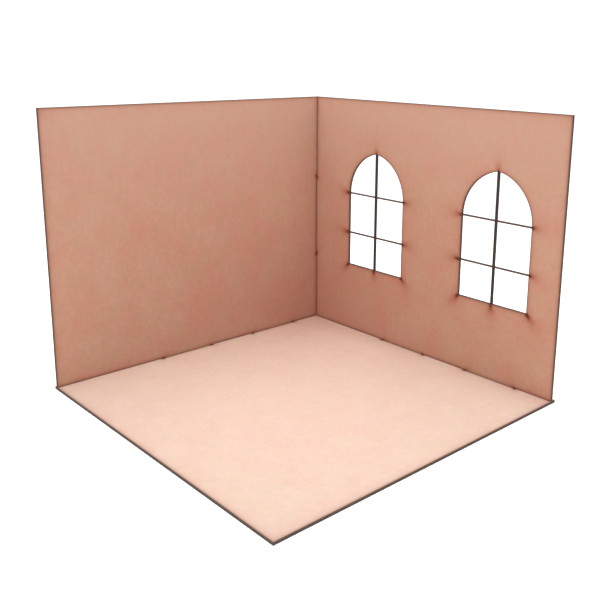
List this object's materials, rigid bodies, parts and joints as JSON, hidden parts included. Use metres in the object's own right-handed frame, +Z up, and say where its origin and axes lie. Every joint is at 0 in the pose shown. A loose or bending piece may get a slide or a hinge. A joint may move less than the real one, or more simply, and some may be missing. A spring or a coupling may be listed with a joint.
{
  "type": "miniature room corner",
  "caption": "Corner of a room for tabletop miniatures: a square floor with a plain wall and a wall with pointed windows, slotted together from thin fibreboard.",
  "frame": {"origin": "centre of the overall box's underside, on the surface that the floor panel rests on", "axes": "+Z up; +X away from the plain wall, towards the room's open side; +Y towards the window wall; the room is open at +X and -Y"},
  "size_m": [0.25, 0.25, 0.1988],
  "materials": {
    "fibreboard": "bare smooth fibreboard, edges charred by the cutter"
  },
  "bodies": {
    "root": {"floor_panel": "fibreboard", "plain_wall": "fibreboard", "window_wall": "fibreboard"}
  },
  "joints": []
}
